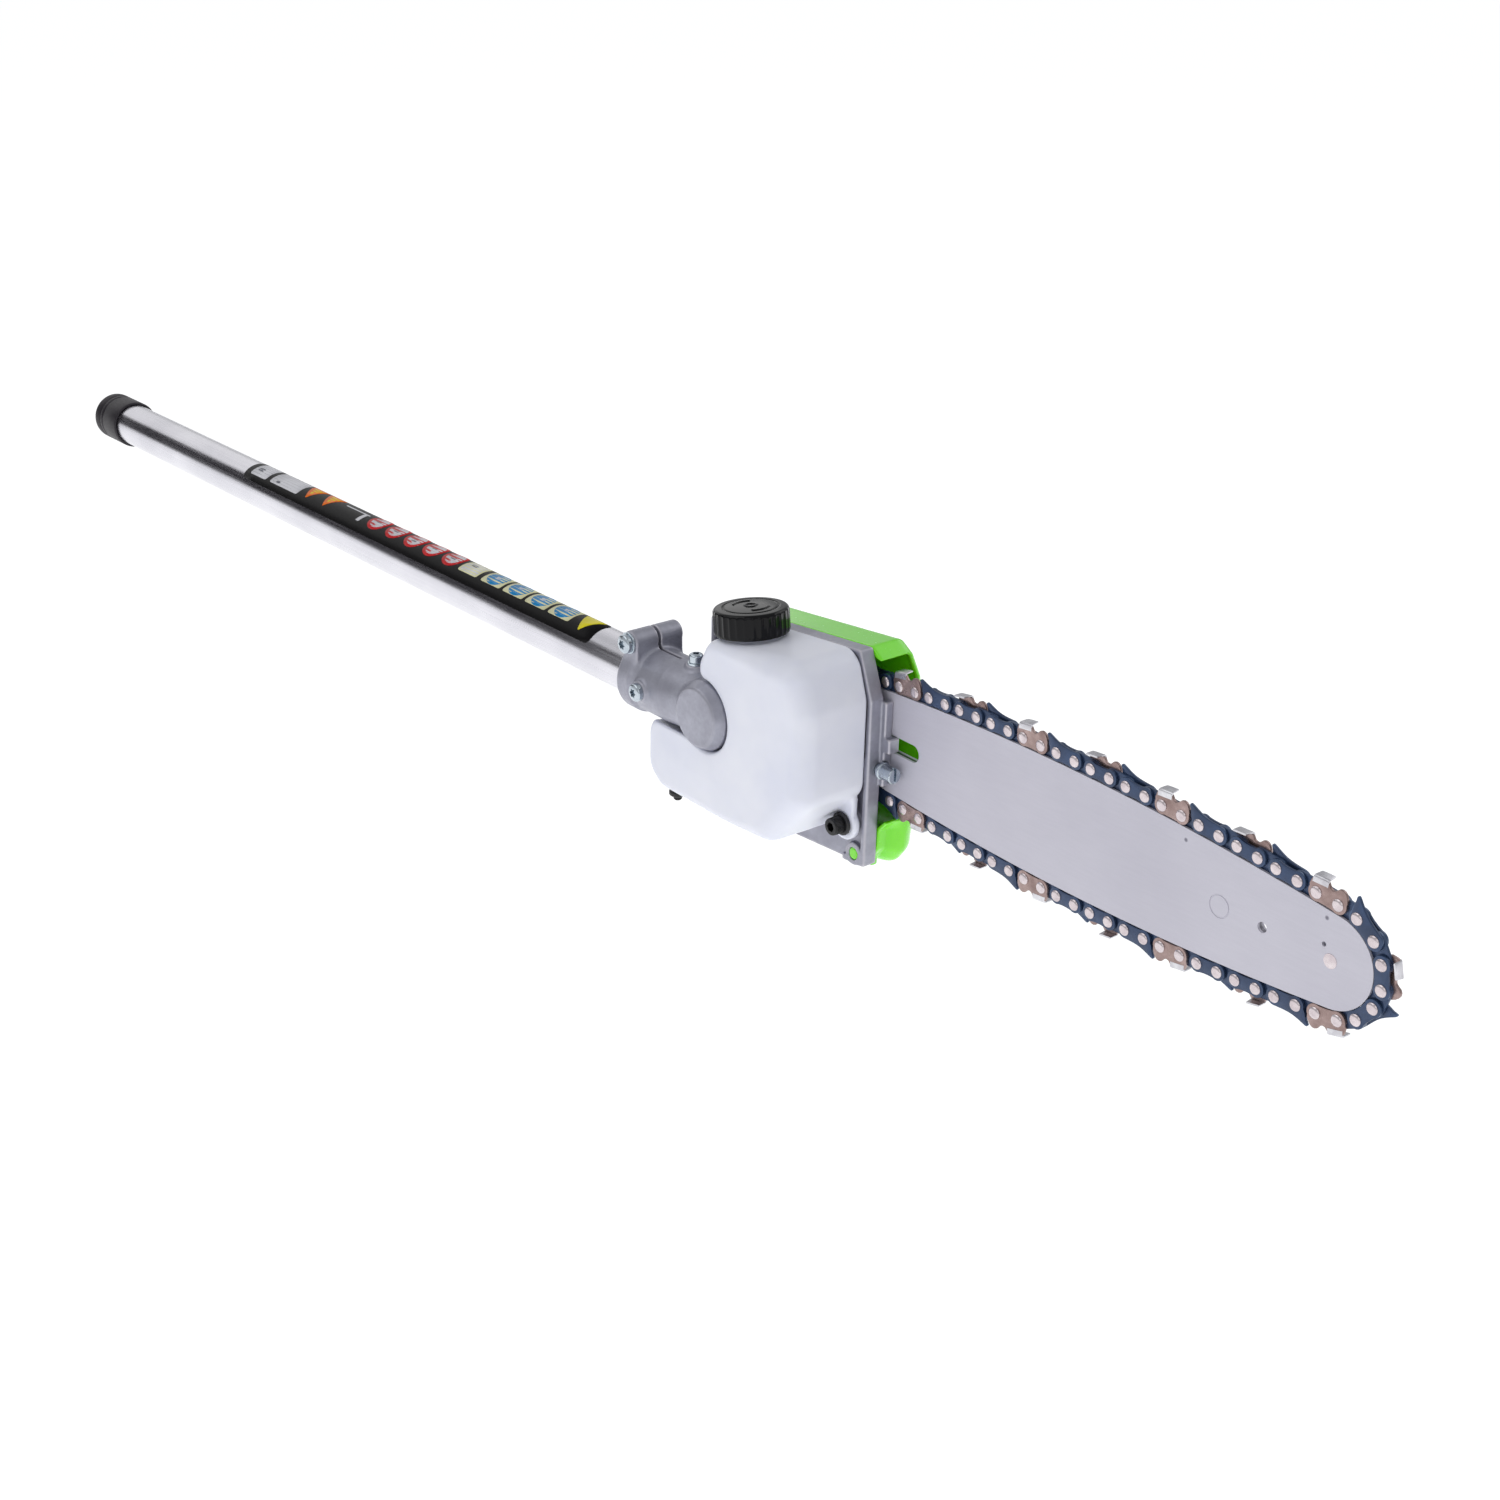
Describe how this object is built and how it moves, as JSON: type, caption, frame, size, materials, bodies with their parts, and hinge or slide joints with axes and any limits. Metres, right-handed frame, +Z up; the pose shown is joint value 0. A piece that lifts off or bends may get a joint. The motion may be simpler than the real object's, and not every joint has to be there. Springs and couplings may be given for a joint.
{
  "type": "pole saw attachment",
  "caption": "Pole saw attachment: straight aluminium tube, bevel gear case, oil tank with screw cap, sprocket cover and a laminated guide bar with its saw chain.",
  "frame": {"origin": "on the tube's axis at its open coupling end face", "axes": "+X along the tube towards the saw, +Z up, oil tank on the -Y side, chain on the +Y side"},
  "size_m": [1.0029, 0.0878, 0.122],
  "materials": {
    "tube_aluminium": "polished drawn tube",
    "cap_rubber": "matte moulded rubber",
    "label_film": "satin printed film with plain colour patches",
    "shaft_steel": "turned steel",
    "bushing_plastic": "moulded plastic",
    "cast_alloy": "fine-textured die casting",
    "zinc_steel": "zinc plated",
    "gear_steel": "oiled hardened steel",
    "bearing_steel": "ground steel",
    "clip_steel": "phosphated spring steel",
    "seal_rubber": "smooth rubber",
    "pump_bronze": "machined bronze",
    "bar_paint": "satin painted steel",
    "core_steel": "bare rolled steel",
    "chain_steel": "blued steel, oiled",
    "cutter_chrome": "chromed and ground edges",
    "rivet_steel": "bright steel",
    "cover_green": "glossy moulded plastic",
    "tank_plastic": "translucent moulded polyethylene",
    "cap_plastic": "glossy ribbed plastic",
    "black_steel": "black oxide"
  },
  "bodies": {
    "root": {"tube": "tube_aluminium", "label_strip": "label_film", "shaft_bushings": "bushing_plastic", "gear_case": "cast_alloy", "clamp_screw": "zinc_steel", "locating_screw": "zinc_steel", "grease_plug": "zinc_steel", "pinion_bearings": "bearing_steel", "output_bearings": "bearing_steel", "oil_seal": "seal_rubber", "base_plate": "cast_alloy", "case_screws": "zinc_steel", "bar_stud": "zinc_steel", "pump_barrel": "shaft_steel", "oil_tank": "tank_plastic", "tank_screws": "black_steel", "tank_grommets": "seal_rubber", "tank_outlet": "seal_rubber"},
    "end_cap": {"tube_end_cap": "cap_rubber"},
    "drive_train": {"drive_shaft": "shaft_steel", "pinion": "gear_steel", "pinion_circlip": "clip_steel"},
    "output": {"ring_gear": "gear_steel", "output_shaft": "shaft_steel", "pump_worm": "pump_bronze", "sprocket": "gear_steel", "sprocket_washer": "zinc_steel", "e_clip": "clip_steel"},
    "pump": {"pump_plunger": "bearing_steel"},
    "bar": {"bar_near_plate": "bar_paint", "bar_core_plate": "core_steel", "bar_far_plate": "bar_paint", "nose_rivet": "rivet_steel", "nose_bearing": "bearing_steel", "tension_pin": "shaft_steel", "chain_drive_links": "chain_steel", "chain_left_cutters": "cutter_chrome", "chain_right_cutters": "cutter_chrome", "chain_bumper_straps": "chain_steel", "chain_tie_straps": "chain_steel", "chain_rivets": "rivet_steel"},
    "nose_wheel": {"nose_wheel": "gear_steel"},
    "tension_screw": {"tension_screw": "zinc_steel"},
    "cover": {"sprocket_cover": "cover_green"},
    "cover_nut": {"cover_nut": "zinc_steel"},
    "gasket": {"cap_gasket": "seal_rubber"},
    "filler_cap": {"filler_cap": "cap_plastic"}
  },
  "joints": [
    {"name": "end_cap_pull", "type": "slide", "parent": "root", "child": "end_cap", "axis": [-1, 0, 0], "range_m": [0, 0.15]},
    {"name": "shaft_spin", "type": "hinge", "parent": "root", "child": "drive_train", "pos_m": [0.6, 0, 0], "axis": [1, 0, 0], "continuous": true},
    {"name": "output_spin", "type": "hinge", "parent": "root", "child": "output", "pos_m": [0.655, 0, 0], "axis": [0, 1, 0], "continuous": true},
    {"name": "pump_spin", "type": "hinge", "parent": "root", "child": "pump", "pos_m": [0.6652, 0.0305, -0.00025], "axis": [0.0244, 0, 0.9997], "continuous": true},
    {"name": "bar_slide", "type": "slide", "parent": "root", "child": "bar", "axis": [-0.9997, 0, 0.0244], "range_m": [0, 0.004]},
    {"name": "nose_spin", "type": "hinge", "parent": "bar", "child": "nose_wheel", "pos_m": [0.97041, 0.04, -0.00771], "axis": [0, 1, 0], "continuous": true},
    {"name": "tension_turn", "type": "hinge", "parent": "root", "child": "tension_screw", "pos_m": [0.71469, 0.0332, -0.01346], "axis": [0.9997, 0, -0.0244], "range_deg": [0, 1801]},
    {"name": "cap_lift", "type": "slide", "parent": "root", "child": "gasket", "axis": [-0.0976, 0, 0.9952], "range_m": [0, 0.02]},
    {"name": "cap_turn", "type": "hinge", "parent": "gasket", "child": "filler_cap", "pos_m": [0.66636, 0.0082, 0.03893], "axis": [-0.0976, 0, 0.9952], "range_deg": [0, 1801]},
    {"name": "cover_off", "type": "slide", "parent": "root", "child": "cover", "axis": [0, 1, 0], "range_m": [0, 0.03]},
    {"name": "nut_turn", "type": "hinge", "parent": "cover", "child": "cover_nut", "pos_m": [0.70099, 0.056, -0.00112], "axis": [0, 1, 0], "range_deg": [0, 8641]}
  ],
  "couplings": [
    {"joint": "output_spin", "follows": "shaft_spin", "ratio": 0.66667},
    {"joint": "nose_spin", "follows": "shaft_spin", "ratio": 0.57143},
    {"joint": "pump_spin", "follows": "shaft_spin", "ratio": 0.066667},
    {"joint": "tension_turn", "follows": "bar_slide", "rad_per_m": 7854},
    {"joint": "cap_turn", "follows": "cap_lift", "rad_per_m": 1570.8},
    {"joint": "nut_turn", "follows": "cover_off", "rad_per_m": 5026.5}
  ]
}
